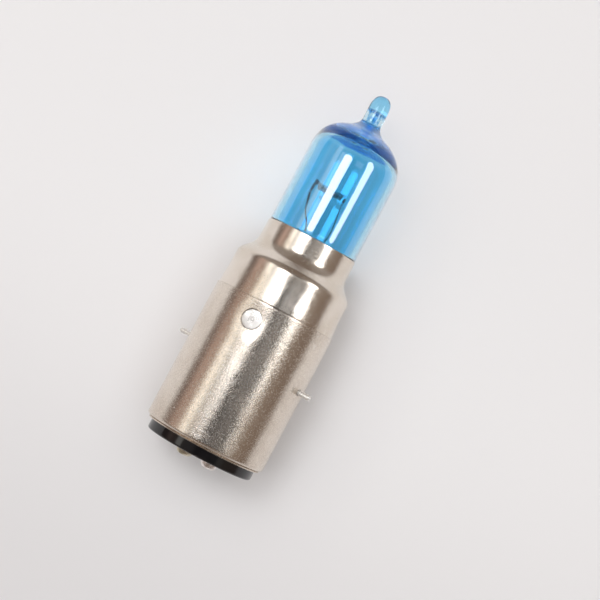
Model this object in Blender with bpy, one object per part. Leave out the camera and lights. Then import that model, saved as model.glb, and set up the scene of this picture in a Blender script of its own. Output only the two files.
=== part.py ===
"""Headlight bulb: a blue glass lamp with two filaments in a nickel-plated bayonet base.

The bulb lies along +X and rests on the side of its 20 mm sleeve. The origin is the centre of
the insulator's end face, +X runs to the glass tip and +Z is up. All sizes are in metres.
Every sub-part is one closed solid with a small clearance to its neighbours.
"""
import math

import bmesh
import bpy
from mathutils import Matrix, Vector

MM = 0.001

# Turned pieces: how finely they are faceted. A flat of the sleeve faces straight down.
ROUND_SEGMENTS = 32
SMALL_SEGMENTS = 16
SHARP_ANGLE = math.radians(35)

# Bayonet sleeve, x measured from the insulator's end face.
SLEEVE_RADIUS = 10.0 * MM
SLEEVE_START_X = 1.63 * MM
SLEEVE_END_X = 25.1 * MM
SLEEVE_BORE_RADIUS = 9.45 * MM
SLEEVE_LIP_RADIUS = 9.1 * MM
SLEEVE_LIP_THICKNESS = 0.5 * MM
SLEEVE_CORNER = 0.7 * MM

# Bayonet pins: opposite each other, at one height, through holes in the sleeve.
PIN_X = 15.6 * MM
PIN_ANGLE = math.radians(-66)
PIN_RADIUS = 0.45 * MM
PIN_REACH = {"right": 12.2 * MM, "left": 12.9 * MM}
PIN_TIP_ROUNDING = 0.3 * MM
PIN_HOLE_RADIUS = 0.6 * MM
PIN_HEAD_RADIUS = 0.9 * MM
PIN_HEAD_INNER = 8.85 * MM
PIN_HEAD_OUTER = 9.2 * MM

# Solder tacks: three round windows in the sleeve, filled with solder onto the neck cap.
TACK_X = 22.05 * MM
TACK_FIRST_ANGLE = math.radians(14)
TACK_COUNT = 3
TACK_HOLE_RADIUS = 1.65 * MM
TACK_RADIUS = 1.45 * MM
TACK_INNER = 9.35 * MM
TACK_SHOULDER = 9.6 * MM
TACK_CROWN = 9.75 * MM

# Neck cap: a skirt inside the sleeve, a shoulder, and a narrow neck that holds the glass.
CAP_WALL = 0.35 * MM
CAP_SKIRT_X = 18.0 * MM
CAP_SEAM_X = 25.3 * MM
CAP_SKIRT_RADIUS = 9.2 * MM
CAP_SEAM_RADIUS = 9.8 * MM
CAP_BODY_RADIUS = 9.615 * MM
CAP_TAPER_END_X = 28.0 * MM
CAP_SHOULDER_X = 30.6 * MM
CAP_SHOULDER_ROUND = 1.6 * MM
CAP_FILLET_ROUND = 3.0 * MM
CAP_NECK_RADIUS = 7.55 * MM
CAP_RIM_X = 37.29 * MM

# Glass envelope: a tube with a pinched foot, a domed end and a sealed exhaust tip.
GLASS_FOOT_X = 28.5 * MM
GLASS_FOOT_RADIUS = 4.6 * MM
GLASS_HAUNCH_X = 29.6 * MM
GLASS_HAUNCH_RADIUS = 6.3 * MM
GLASS_SHANK_X = 31.2 * MM
GLASS_SHANK_RADIUS = 6.95 * MM
GLASS_STEP_START_X = 37.3 * MM
GLASS_STEP_END_X = 37.75 * MM
GLASS_RADIUS = 7.42 * MM
GLASS_WALL = 1.0 * MM
DOME_START_X = 50.3 * MM
DOME_HEIGHT = 6.3 * MM
DOME_FULLNESS = 2.2
DOME_END_ANGLE = math.radians(24.0)
TIP_RADIUS = 1.63 * MM
TIP_FILLET_X = 57.0 * MM
TIP_STRAIGHT_X = 57.9 * MM
TIP_CROWN_X = 60.1 * MM
TIP_CROWN_HEIGHT = 2.32 * MM
TIP_CROWN_FULLNESS = 2.5
TIP_OFFSET_Y = 0.45 * MM
TIP_OFFSET_END_X = 57.0 * MM
CAVITY_FLOOR_X = 31.0 * MM
CAVITY_FLOOR_RADIUS = 4.9 * MM
CAVITY_HAUNCH_X = 32.6 * MM
CAVITY_DOME_X = 50.6 * MM
CAVITY_DOME_HEIGHT = 3.9 * MM
CAVITY_DOME_FULLNESS = 2.6
THROAT_RADIUS = 0.45 * MM
THROAT_END_X = 56.4 * MM
CHANNEL_START_X = 57.3 * MM
CHANNEL_RADIUS = 1.05 * MM
CHANNEL_CROWN_X = 59.4 * MM
CHANNEL_END_X = 59.7 * MM
PINCH_X = 17.5 * MM
PINCH_TOP_X = 30.0 * MM
PINCH_WIDTH = 11.6 * MM
PINCH_THICKNESS = 3.4 * MM
PINCH_EDGE = 0.6 * MM
LEAD_HOLE_RADIUS = 0.55 * MM
LEAD_SPACING = 3.2 * MM

# Wires inside and below the glass.
LEAD_RADIUS = 0.16 * MM
TAIL_RADIUS = 0.22 * MM
LEAD_FOOT_X = 15.5 * MM
TAIL_TOP_X = 15.2 * MM
HIGH_BEAM_Z = 1.2 * MM
LOW_BEAM_Z = -1.6 * MM
FILAMENT_X = 45.4 * MM
FILAMENT_LEFT_Y = 3.2 * MM
FILAMENT_RIGHT_Y = -0.95 * MM
COMMON_Y = -1.45 * MM
COIL_RADIUS = 0.38 * MM
COIL_WIRE_RADIUS = 0.08 * MM
COIL_TURNS = 11
COIL_STEPS_PER_TURN = 12
COIL_LEG = 0.2 * MM
CLAMP_RADIUS = 0.24 * MM
CLAMP_LENGTH = 0.5 * MM
CLAMP_GAP = 0.1 * MM
BRIDGE_X = 44.35 * MM
BRIDGE_GAP = 0.4 * MM
BRIDGE_CLAMP_X = 45.1 * MM

# Cement that holds the pinch in the neck cap.
CEMENT_START_X = 20.0 * MM
CEMENT_END_X = 28.2 * MM
CEMENT_RADIUS = 8.7 * MM
CEMENT_CLEARANCE = 0.3 * MM

# Insulator disc, with a plated eyelet and a solder bead at each of its two contacts.
INSULATOR_RADIUS = 8.93 * MM
INSULATOR_THICKNESS = 4.6 * MM
INSULATOR_EDGE = 0.35 * MM
CONTACT_OFFSET = 2.35 * MM
CONTACT_HOLE_RADIUS = 1.0 * MM
EYELET_FLANGE_RADIUS = 1.55 * MM
EYELET_FLANGE_X = (-0.45 * MM, -0.15 * MM)
EYELET_BARREL_RADIUS = 0.8 * MM
EYELET_BORE_RADIUS = 0.5 * MM
EYELET_ROLL_RADIUS = 1.1 * MM
EYELET_ROLL_X = (4.8 * MM, 5.1 * MM)
BEAD_BASE_X = -0.6 * MM
BEAD_TIP_X = -1.4 * MM
BEAD_RADIUS = 1.4 * MM
BEAD_FLAT_RADIUS = 0.6 * MM
BEAD_STEM_RADIUS = 0.25 * MM
BEAD_STEM_X = 0.5 * MM

# Solder blob that earths the third tail to the skirt's lower edge.
EARTH_BLOB_RADIUS = 0.6 * MM
EARTH_BLOB_CENTRE = (17.1 * MM, -8.45 * MM, 0.0)


# ---- scene and materials ---------------------------------------------------------------------

def clear_scene():
    for obj in list(bpy.data.objects):
        bpy.data.objects.remove(obj, do_unlink=True)


def material(name, colour, roughness, metallic=0.0, transmission=0.0):
    mat = bpy.data.materials.get(name)
    if mat is None:
        mat = bpy.data.materials.new(name)
        mat.use_nodes = True
        shader = mat.node_tree.nodes["Principled BSDF"]
        shader.inputs["Base Color"].default_value = (*colour, 1.0)
        shader.inputs["Roughness"].default_value = roughness
        shader.inputs["Metallic"].default_value = metallic
        shader.inputs["Transmission Weight"].default_value = transmission
        mat.diffuse_color = (*colour, 1.0)
    return mat


def nickel():
    return material("nickel_plate", (0.66, 0.60, 0.52), 0.22, metallic=1.0)


def blue_glass():
    return material("blue_glass", (0.20, 0.52, 0.85), 0.05, transmission=0.9)


def black_glass():
    return material("black_insulator", (0.02, 0.02, 0.022), 0.3)


def brass():
    return material("brass_contact", (0.72, 0.56, 0.30), 0.3, metallic=1.0)


def solder():
    return material("solder", (0.62, 0.60, 0.58), 0.38, metallic=1.0)


def molybdenum():
    return material("lead_wire", (0.42, 0.42, 0.44), 0.35, metallic=1.0)


def tungsten():
    return material("tungsten", (0.32, 0.32, 0.34), 0.45, metallic=1.0)


def copper_wire():
    return material("tail_wire", (0.70, 0.45, 0.30), 0.35, metallic=1.0)


def cement():
    return material("cement", (0.72, 0.68, 0.60), 0.9)


# ---- outlines: lists of (x, radius) ----------------------------------------------------------

def arc(centre_x, centre_r, radius, start, end, steps):
    angles = [math.radians(start + (end - start) * i / steps) for i in range(steps + 1)]
    return [(centre_x + radius * math.cos(a), centre_r + radius * math.sin(a)) for a in angles]


def dome(start_x, radius, height, fullness, end_angle, steps):
    """Quarter of a rounded-off ellipse, from its widest ring towards the axis."""
    power = 2.0 / fullness
    points = []
    for i in range(steps + 1):
        angle = math.pi / 2 + (end_angle - math.pi / 2) * i / steps
        x = start_x + height * max(math.cos(angle), 0.0) ** power
        points.append((x, radius * math.sin(angle) ** power))
    return points


def bend(first, corner, last, steps):
    """Points strictly between first and last on the curve that the corner pulls on."""
    points = []
    for i in range(1, steps):
        t = i / steps
        weights = ((1 - t) ** 2, 2 * t * (1 - t), t ** 2)
        columns = zip(first, corner, last)
        points.append(tuple(sum(w * v for w, v in zip(weights, column)) for column in columns))
    return points


# ---- builders --------------------------------------------------------------------------------

def new_object(name, mesh, mat):
    mesh.shade_smooth()
    mesh.set_sharp_from_angle(angle=SHARP_ANGLE)
    if mat:
        mesh.materials.append(mat)
    obj = bpy.data.objects.new(name, mesh)
    bpy.context.scene.collection.objects.link(obj)
    return obj


def mesh_from(name, bm):
    mesh = bpy.data.meshes.new(name)
    bmesh.ops.recalc_face_normals(bm, faces=bm.faces)
    bm.to_mesh(mesh)
    bm.free()
    return mesh


def turned(name, outline, mat, segments=ROUND_SEGMENTS):
    """Spin a closed (x, radius) outline about X. The flats lie at the stated radii."""
    bm = bmesh.new()
    half_step = math.pi / segments
    start = Matrix.Rotation(half_step, 3, "X")
    widen = 1.0 / math.cos(half_step)
    verts = [bm.verts.new(start @ Vector((x, 0.0, r * widen))) for x, r in outline]
    ring = list(range(len(outline)))
    edges = []
    for i, j in zip(ring, ring[1:] + ring[:1]):
        if outline[i][1] > 0 or outline[j][1] > 0:
            edges.append(bm.edges.new((verts[i], verts[j])))
    bmesh.ops.spin(
        bm, geom=verts + edges, axis=(1, 0, 0), cent=(0, 0, 0),
        angle=2 * math.pi, steps=segments, use_merge=True)
    bmesh.ops.remove_doubles(bm, verts=bm.verts, dist=0.0001 * MM)
    return new_object(name, mesh_from(name, bm), mat)


def rod(name, start_x, end_x, radius, mat, segments=SMALL_SEGMENTS):
    outline = [(start_x, 0.0), (start_x, radius), (end_x, radius), (end_x, 0.0)]
    return turned(name, outline, mat, segments)


def block(name, low, high, edge, mat):
    bm = bmesh.new()
    bmesh.ops.create_cube(bm, size=1.0)
    size = Vector(high) - Vector(low)
    middle = (Vector(high) + Vector(low)) / 2
    bmesh.ops.scale(bm, vec=size, verts=bm.verts)
    bmesh.ops.translate(bm, vec=middle, verts=bm.verts)
    if edge:
        bmesh.ops.bevel(bm, geom=bm.edges, offset=edge, segments=2, profile=0.5, affect="EDGES")
    return new_object(name, mesh_from(name, bm), mat)


def smooth_route(points, steps):
    """Points of a Catmull-Rom curve through a wire's few bends."""
    knots = [Vector(p) for p in points]
    knots = [2 * knots[0] - knots[1]] + knots + [2 * knots[-1] - knots[-2]]
    route = []
    for a, b, c, d in zip(knots, knots[1:], knots[2:], knots[3:]):
        for i in range(steps):
            t = i / steps
            value = 2 * b + (c - a) * t + (2 * a - 5 * b + 4 * c - d) * t ** 2
            route.append((value + (3 * b - a - 3 * c + d) * t ** 3) / 2)
    return route + [knots[-2]]


def wire(name, route, radius, mat, roundness=1):
    curve = bpy.data.curves.new(name, "CURVE")
    curve.dimensions = "3D"
    curve.bevel_depth = radius
    curve.bevel_resolution = roundness
    curve.use_fill_caps = True
    spline = curve.splines.new("POLY")
    spline.points.add(len(route) - 1)
    for point, place in zip(spline.points, route):
        point.co = (*place, 1.0)
    spline.use_smooth = True
    curve.materials.append(mat)
    obj = bpy.data.objects.new(name, curve)
    bpy.context.scene.collection.objects.link(obj)
    return obj


def aim(obj, place, direction):
    """Put a piece turned about its own X axis at a place, pointing along a direction."""
    obj.location = place
    obj.rotation_mode = "QUATERNION"
    obj.rotation_quaternion = Vector((1, 0, 0)).rotation_difference(Vector(direction))
    return obj


def cut(obj, tool, operation="DIFFERENCE"):
    tool.hide_render = True
    tool.display_type = "WIRE"
    modifier = obj.modifiers.new(tool.name, "BOOLEAN")
    modifier.operation = operation
    modifier.solver = "EXACT"
    modifier.object = tool


def around(angle):
    """Unit vector at right angles to X, turned from +Z towards +Y."""
    return Vector((0.0, math.sin(angle), math.cos(angle)))


def contact_places():
    """Centres of the two contacts, on the line that joins the bayonet pins."""
    return {"low_beam": CONTACT_OFFSET * around(PIN_ANGLE),
            "high_beam": -CONTACT_OFFSET * around(PIN_ANGLE)}


# ---- glass envelope --------------------------------------------------------------------------

def tip_outline():
    return dome(TIP_CROWN_X, TIP_RADIUS, TIP_CROWN_HEIGHT, TIP_CROWN_FULLNESS, 0.0, 5)


def glass_outline():
    shank = [
        (GLASS_FOOT_X, 0.0),
        (GLASS_FOOT_X, GLASS_FOOT_RADIUS),
        (GLASS_HAUNCH_X, GLASS_HAUNCH_RADIUS),
        (GLASS_SHANK_X, GLASS_SHANK_RADIUS),
        (GLASS_STEP_START_X, GLASS_SHANK_RADIUS),
        (GLASS_STEP_END_X, GLASS_RADIUS)]
    crown = dome(DOME_START_X, GLASS_RADIUS, DOME_HEIGHT, DOME_FULLNESS, DOME_END_ANGLE, 7)
    straight = (TIP_STRAIGHT_X, TIP_RADIUS)
    fillet = bend(crown[-1], (TIP_FILLET_X, TIP_RADIUS), straight, 4)
    return shank + crown + fillet + [straight] + tip_outline()


def cavity_outline():
    """The hollow: a bore, a flattened dome, a narrow throat and the end of the exhaust tube."""
    bore = GLASS_RADIUS - GLASS_WALL
    crown = dome(CAVITY_DOME_X, bore, CAVITY_DOME_HEIGHT, CAVITY_DOME_FULLNESS, 0.0, 7)
    crown = [point for point in crown if point[1] > THROAT_RADIUS]
    channel_height = CHANNEL_END_X - CHANNEL_CROWN_X
    return [
        (CAVITY_FLOOR_X, 0.0), (CAVITY_FLOOR_X, CAVITY_FLOOR_RADIUS), (CAVITY_HAUNCH_X, bore),
        *crown,
        (CAVITY_DOME_X + CAVITY_DOME_HEIGHT, THROAT_RADIUS), (THROAT_END_X, THROAT_RADIUS),
        (CHANNEL_START_X, CHANNEL_RADIUS),
        *dome(CHANNEL_CROWN_X, CHANNEL_RADIUS, channel_height, 2.0, 0.0, 3)]


def lean_tip(obj):
    """Ease the dome and tip a little off the axis, where the exhaust tube was melted off."""
    for vertex in obj.data.vertices:
        t = (vertex.co.x - DOME_START_X) / (TIP_OFFSET_END_X - DOME_START_X)
        t = min(max(t, 0.0), 1.0)
        vertex.co.y += TIP_OFFSET_Y * t * t * (3 - 2 * t)


def pinch_solid(name, clearance, mat):
    half_width = PINCH_WIDTH / 2 + clearance
    half_thickness = PINCH_THICKNESS / 2 + clearance
    low = (PINCH_X, -half_width, -half_thickness)
    high = (PINCH_TOP_X, half_width, half_thickness)
    return block(name, low, high, PINCH_EDGE, mat)


def make_glass():
    glass = turned("glass_envelope", glass_outline(), blue_glass())
    lean_tip(glass)
    cut(glass, pinch_solid("pinch_shape", 0.0, None), "UNION")
    cavity = turned("cavity_shape", cavity_outline(), None)
    lean_tip(cavity)
    cut(glass, cavity)
    for index, y in enumerate((-LEAD_SPACING, 0.0, LEAD_SPACING)):
        hole = rod(f"lead_hole_{index + 1}", PINCH_X - MM, CAVITY_FLOOR_X + MM,
                   LEAD_HOLE_RADIUS, None, 12)
        hole.location = (0.0, y, 0.0)
        cut(glass, hole)


# ---- wires and filaments ---------------------------------------------------------------------

def make_side_lead(name, pinch_y, z):
    """A lead that leaves the pinch and bows outwards to the left end of its filament."""
    bends = [
        (LEAD_FOOT_X, pinch_y, 0.0), (24.0 * MM, pinch_y, 0.0), (31.4 * MM, pinch_y, 0.0),
        (36.5 * MM, 1.3 * MM, 0.8 * z), (39.3 * MM, 2.1 * MM, z), (41.1 * MM, 3.2 * MM, z),
        (43.2 * MM, 3.74 * MM, z), (44.5 * MM, 3.9 * MM, z), (45.3 * MM, 3.8 * MM, z)]
    wire(name, smooth_route(bends, 4), LEAD_RADIUS, molybdenum())


def make_leads():
    make_side_lead("lead_high_beam", LEAD_SPACING, HIGH_BEAM_Z)
    make_side_lead("lead_low_beam", 0.0, LOW_BEAM_Z)
    middle_z = (HIGH_BEAM_Z + LOW_BEAM_Z) / 2
    top = BRIDGE_X - LEAD_RADIUS - BRIDGE_GAP
    bends = [
        (LEAD_FOOT_X, -LEAD_SPACING, 0.0), (24.0 * MM, -LEAD_SPACING, 0.0),
        (31.4 * MM, -LEAD_SPACING, 0.0), (36.0 * MM, -1.4 * MM, middle_z),
        (39.0 * MM, COMMON_Y, middle_z), (top, COMMON_Y, middle_z)]
    wire("lead_common", smooth_route(bends, 4), LEAD_RADIUS, molybdenum())
    ends = [(BRIDGE_X, COMMON_Y, z) for z in (LOW_BEAM_Z - LEAD_RADIUS, HIGH_BEAM_Z + LEAD_RADIUS)]
    wire("common_bridge", ends, LEAD_RADIUS, molybdenum())


def coil_route(z):
    """A straight leg, the helix about a line parallel to Y, and a second leg."""
    steps = COIL_TURNS * COIL_STEPS_PER_TURN
    route = [Vector((FILAMENT_X + COIL_RADIUS, FILAMENT_LEFT_Y + COIL_LEG, z))]
    for i in range(steps + 1):
        turn = 2 * math.pi * i / COIL_STEPS_PER_TURN
        y = FILAMENT_LEFT_Y + (FILAMENT_RIGHT_Y - FILAMENT_LEFT_Y) * i / steps
        x = FILAMENT_X + COIL_RADIUS * math.cos(turn)
        route.append(Vector((x, y, z + COIL_RADIUS * math.sin(turn))))
    route.append(Vector((FILAMENT_X + COIL_RADIUS, FILAMENT_RIGHT_Y - COIL_LEG, z)))
    return route


def make_clamp(name, place):
    clamp = rod(name, -CLAMP_LENGTH / 2, CLAMP_LENGTH / 2, CLAMP_RADIUS, molybdenum(), 12)
    clamp.location = place


def make_filaments():
    left_y = FILAMENT_LEFT_Y + COIL_LEG + CLAMP_RADIUS + CLAMP_GAP
    for beam, z in (("high_beam", HIGH_BEAM_Z), ("low_beam", LOW_BEAM_Z)):
        wire(f"filament_{beam}", coil_route(z), COIL_WIRE_RADIUS, tungsten())
        make_clamp(f"clamp_{beam}_left", (FILAMENT_X + COIL_RADIUS, left_y, z))
        make_clamp(f"clamp_{beam}_right", (BRIDGE_CLAMP_X, COMMON_Y, z))


def make_tails():
    places = contact_places()
    for beam, pinch_y in (("high_beam", LEAD_SPACING), ("low_beam", 0.0)):
        contact = places[beam]
        drift = contact.lerp(Vector((0.0, pinch_y, 0.0)), 0.5)
        bends = [
            (TAIL_TOP_X, pinch_y, 0.0), (11.0 * MM, 1.25 * drift.y, 1.25 * drift.z),
            (6.5 * MM, contact.y, contact.z), (4.0 * MM, contact.y, contact.z),
            (1.0 * MM, contact.y, contact.z)]
        wire(f"tail_{beam}", smooth_route(bends, 4), TAIL_RADIUS, copper_wire())
    bends = [
        (TAIL_TOP_X, -LEAD_SPACING, 0.0), (13.6 * MM, -4.2 * MM, 0.0),
        (13.9 * MM, -6.4 * MM, 0.0), (16.2 * MM, -8.0 * MM, 0.0)]
    wire("tail_earth", smooth_route(bends, 4), TAIL_RADIUS, copper_wire())
    blob = dome(0.0, EARTH_BLOB_RADIUS, EARTH_BLOB_RADIUS, 2.0, 0.0, 4)
    mirrored = [(-x, r) for x, r in reversed(blob)]
    turned("earth_solder", mirrored[:-1] + blob, solder(), 12).location = EARTH_BLOB_CENTRE


# ---- base ------------------------------------------------------------------------------------

def make_cement():
    outline = [
        (CEMENT_START_X, 0.0), (CEMENT_START_X, CEMENT_RADIUS),
        (CEMENT_END_X, CEMENT_RADIUS), (CEMENT_END_X, 0.0)]
    filling = turned("capping_cement", outline, cement())
    cut(filling, pinch_solid("cement_slot", CEMENT_CLEARANCE, None))


def neck_cap_outline():
    neck_centre = CAP_NECK_RADIUS + CAP_FILLET_ROUND
    shoulder_centre = CAP_BODY_RADIUS - CAP_SHOULDER_ROUND
    slope = math.sin(math.radians(45))
    rise = neck_centre - slope * CAP_FILLET_ROUND
    drop = shoulder_centre + slope * CAP_SHOULDER_ROUND - rise
    fillet_x = CAP_SHOULDER_X + slope * (CAP_SHOULDER_ROUND + CAP_FILLET_ROUND) + drop
    outer = [(CAP_SKIRT_X, CAP_SKIRT_RADIUS), (CAP_SEAM_X, CAP_SKIRT_RADIUS),
             (CAP_SEAM_X, CAP_SEAM_RADIUS), (CAP_TAPER_END_X, CAP_BODY_RADIUS)]
    outer += arc(CAP_SHOULDER_X, shoulder_centre, CAP_SHOULDER_ROUND, 90, 45, 3)
    outer += arc(fillet_x, neck_centre, CAP_FILLET_ROUND, 225, 270, 4)
    outer += [(CAP_RIM_X, CAP_NECK_RADIUS)]
    inner = [(CAP_RIM_X, CAP_NECK_RADIUS - CAP_WALL)]
    inner += arc(fillet_x, neck_centre, CAP_FILLET_ROUND + CAP_WALL, 270, 225, 4)
    inner += arc(CAP_SHOULDER_X, shoulder_centre, CAP_SHOULDER_ROUND - CAP_WALL, 45, 90, 3)
    inner += [(CAP_TAPER_END_X, CAP_BODY_RADIUS - CAP_WALL),
              (CAP_SEAM_X + CAP_WALL, CAP_BODY_RADIUS - CAP_WALL),
              (CAP_SEAM_X + CAP_WALL, CAP_SKIRT_RADIUS - CAP_WALL),
              (CAP_SKIRT_X, CAP_SKIRT_RADIUS - CAP_WALL)]
    return outer + inner


def make_neck_cap():
    turned("neck_cap", neck_cap_outline(), nickel())


def sleeve_outline():
    corner_x = SLEEVE_START_X + SLEEVE_CORNER
    lip_end_x = SLEEVE_START_X + SLEEVE_LIP_THICKNESS
    return [
        *arc(corner_x, SLEEVE_RADIUS - SLEEVE_CORNER, SLEEVE_CORNER, 180, 90, 4),
        (SLEEVE_END_X, SLEEVE_RADIUS), (SLEEVE_END_X, SLEEVE_BORE_RADIUS),
        (lip_end_x, SLEEVE_BORE_RADIUS), (lip_end_x, SLEEVE_LIP_RADIUS),
        (SLEEVE_START_X, SLEEVE_LIP_RADIUS)]


def pin_directions():
    return {"right": around(PIN_ANGLE), "left": -around(PIN_ANGLE)}


def tack_directions():
    step = 2 * math.pi / TACK_COUNT
    return [around(TACK_FIRST_ANGLE + i * step) for i in range(TACK_COUNT)]


def make_sleeve():
    sleeve = turned("base_sleeve", sleeve_outline(), nickel())
    through = (SLEEVE_LIP_RADIUS, SLEEVE_RADIUS + MM)
    for side, direction in pin_directions().items():
        hole = rod(f"pin_hole_{side}", *through, PIN_HOLE_RADIUS, None, 12)
        cut(sleeve, aim(hole, (PIN_X, 0.0, 0.0), direction))
    for index, direction in enumerate(tack_directions()):
        hole = rod(f"tack_hole_{index + 1}", *through, TACK_HOLE_RADIUS, None)
        cut(sleeve, aim(hole, (TACK_X, 0.0, 0.0), direction))


def pin_outline(reach):
    return [
        (PIN_HEAD_INNER, 0.0), (PIN_HEAD_INNER, PIN_HEAD_RADIUS),
        (PIN_HEAD_OUTER, PIN_HEAD_RADIUS), (PIN_HEAD_OUTER, PIN_RADIUS),
        *arc(reach - PIN_TIP_ROUNDING, PIN_RADIUS - PIN_TIP_ROUNDING, PIN_TIP_ROUNDING, 90, 0, 3),
        (reach, 0.0)]


def make_pins():
    for side, direction in pin_directions().items():
        outline = pin_outline(PIN_REACH[side])
        pin = turned(f"bayonet_pin_{side}", outline, nickel(), SMALL_SEGMENTS)
        aim(pin, (PIN_X, 0.0, 0.0), direction)


def make_solder_tacks():
    crown = dome(TACK_SHOULDER, TACK_RADIUS, TACK_CROWN - TACK_SHOULDER, 2.0, 0.0, 3)
    outline = [(TACK_INNER, 0.0), (TACK_INNER, TACK_RADIUS), *crown]
    for index, direction in enumerate(tack_directions()):
        tack = turned(f"solder_tack_{index + 1}", outline, solder(), SMALL_SEGMENTS)
        aim(tack, (TACK_X, 0.0, 0.0), direction)


def make_insulator():
    outline = [
        (0.0, 0.0),
        *arc(INSULATOR_EDGE, INSULATOR_RADIUS - INSULATOR_EDGE, INSULATOR_EDGE, 180, 90, 3),
        (INSULATOR_THICKNESS, INSULATOR_RADIUS), (INSULATOR_THICKNESS, 0.0)]
    disc = turned("insulator", outline, black_glass())
    for beam, place in contact_places().items():
        hole = rod(f"contact_hole_{beam}", -MM, INSULATOR_THICKNESS + MM,
                   CONTACT_HOLE_RADIUS, None)
        hole.location = place
        cut(disc, hole)


def make_contacts():
    eyelet = [
        (EYELET_FLANGE_X[0], EYELET_BORE_RADIUS), (EYELET_FLANGE_X[0], EYELET_FLANGE_RADIUS),
        (EYELET_FLANGE_X[1], EYELET_FLANGE_RADIUS), (EYELET_FLANGE_X[1], EYELET_BARREL_RADIUS),
        (EYELET_ROLL_X[0], EYELET_BARREL_RADIUS), (EYELET_ROLL_X[0], EYELET_ROLL_RADIUS),
        (EYELET_ROLL_X[1], EYELET_ROLL_RADIUS), (EYELET_ROLL_X[1], EYELET_BORE_RADIUS)]
    crown = bend((BEAD_BASE_X, BEAD_RADIUS), (BEAD_TIP_X, BEAD_RADIUS),
                 (BEAD_TIP_X, BEAD_FLAT_RADIUS), 4)
    bead = [
        (BEAD_STEM_X, 0.0), (BEAD_STEM_X, BEAD_STEM_RADIUS), (BEAD_BASE_X, BEAD_STEM_RADIUS),
        (BEAD_BASE_X, BEAD_RADIUS), *crown, (BEAD_TIP_X, BEAD_FLAT_RADIUS), (BEAD_TIP_X, 0.0)]
    for beam, place in contact_places().items():
        turned(f"contact_eyelet_{beam}", eyelet, brass(), SMALL_SEGMENTS).location = place
        turned(f"contact_solder_{beam}", bead, solder(), SMALL_SEGMENTS).location = place


def main():
    clear_scene()
    make_glass()
    make_leads()
    make_filaments()
    make_tails()
    make_cement()
    make_neck_cap()
    make_sleeve()
    make_pins()
    make_solder_tacks()
    make_insulator()
    make_contacts()


main()
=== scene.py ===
"""Looks of the headlight bulb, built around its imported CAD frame. All sizes are in metres.

The bulb lies along +X with its base end at the origin, and +Z is up. Turned pieces are described
by outlines of (x, radius) points. Angles round the axis run from +Z towards +Y.
"""
import math

import bmesh
import bpy
from mathutils import Matrix, Vector, noise


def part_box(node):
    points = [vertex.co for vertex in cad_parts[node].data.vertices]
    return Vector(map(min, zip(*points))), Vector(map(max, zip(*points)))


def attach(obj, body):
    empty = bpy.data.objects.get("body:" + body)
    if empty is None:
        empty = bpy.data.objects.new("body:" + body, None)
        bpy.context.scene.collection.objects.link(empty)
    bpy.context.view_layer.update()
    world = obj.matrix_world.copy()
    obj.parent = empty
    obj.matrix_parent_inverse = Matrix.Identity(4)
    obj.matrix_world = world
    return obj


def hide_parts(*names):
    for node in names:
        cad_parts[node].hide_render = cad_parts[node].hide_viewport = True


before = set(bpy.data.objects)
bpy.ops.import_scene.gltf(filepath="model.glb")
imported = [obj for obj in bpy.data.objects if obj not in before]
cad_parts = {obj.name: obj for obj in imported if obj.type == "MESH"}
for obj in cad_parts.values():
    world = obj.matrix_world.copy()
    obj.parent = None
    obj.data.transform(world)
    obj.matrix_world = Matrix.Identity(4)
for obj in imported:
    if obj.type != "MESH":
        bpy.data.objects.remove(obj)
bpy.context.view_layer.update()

MM = 0.001
BODY = "root"
SHARP_ANGLE = math.radians(38)


def reach(node, axis):
    """Lowest and highest coordinate of a CAD node along one axis."""
    low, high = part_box(node)
    return low[axis], high[axis]


# ---- dimensions, from the frame where it holds them ------------------------------------------

SLEEVE_X = reach("base_sleeve", 0)
SLEEVE_RADIUS = reach("base_sleeve", 2)[1]
SLEEVE_WALL = 0.55 * MM
SLEEVE_LIP_RADIUS = 9.1 * MM
SLEEVE_LIP_WALL = 0.5 * MM
# The turned-in lower end, as distances up from the end and in from the outside.
LIP_SHAPE = [(0.0, 0.7 * MM), (0.04 * MM, 0.5 * MM), (0.22 * MM, 0.44 * MM), (0.3 * MM, 0.62 * MM)]
CORNER_X = 0.85 * MM
CORNER_ROUND = 0.5 * MM
GROOVE_X = 20.9 * MM
GROOVE_STEP = 0.12 * MM
GROOVE_DEPTH = 0.004 * MM
SURFACE_STEP = 0.35 * MM

CAP_X = reach("neck_cap", 0)
CAP_SEAM_RADIUS = reach("neck_cap", 2)[1]
CAP_RADIUS = 9.6 * MM
CAP_WALL = 0.35 * MM
CAP_SEAM_X = 25.12 * MM
SEAM_EDGE = 0.03 * MM
CAP_SKIRT_RADIUS = 9.2 * MM
CAP_SHOULDER_X = 30.6 * MM
CAP_SHOULDER_ROUND = 1.6 * MM
CAP_FILLET_ROUND = 3.0 * MM
CAP_NECK_RADIUS = 7.55 * MM
CAP_TAPER_X = (26.0 * MM, 27.6 * MM, 30.2 * MM)
RIM_EDGE = 0.06 * MM

GLASS_RADIUS = reach("glass_envelope", 2)[1]
GLASS_END_X = reach("glass_envelope", 0)[1]
GLASS_WALL = 1.0 * MM
GLASS_FOOT = (28.5 * MM, 4.6 * MM)
GLASS_HAUNCH = (29.6 * MM, 6.3 * MM)
GLASS_SHANK_X = 31.2 * MM
GLASS_SHANK_RADIUS = 7.12 * MM
GLASS_STEP_X = 37.32 * MM
DOME_START_X = 50.3 * MM
DOME_HEIGHT = 6.3 * MM
DOME_FULLNESS = 2.2
DOME_END_ANGLE = math.radians(24.0)
TIP_RADIUS = 1.63 * MM
TIP_FILLET_X = 57.0 * MM
TIP_STRAIGHT_X = 57.9 * MM
TIP_CROWN_X = 60.1 * MM
TIP_CROWN_FULLNESS = 2.5
TIP_OFFSET_Y = 0.45 * MM
TIP_OFFSET_END_X = 57.0 * MM
TIP_MELT_LENGTH = 1.5 * MM

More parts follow.
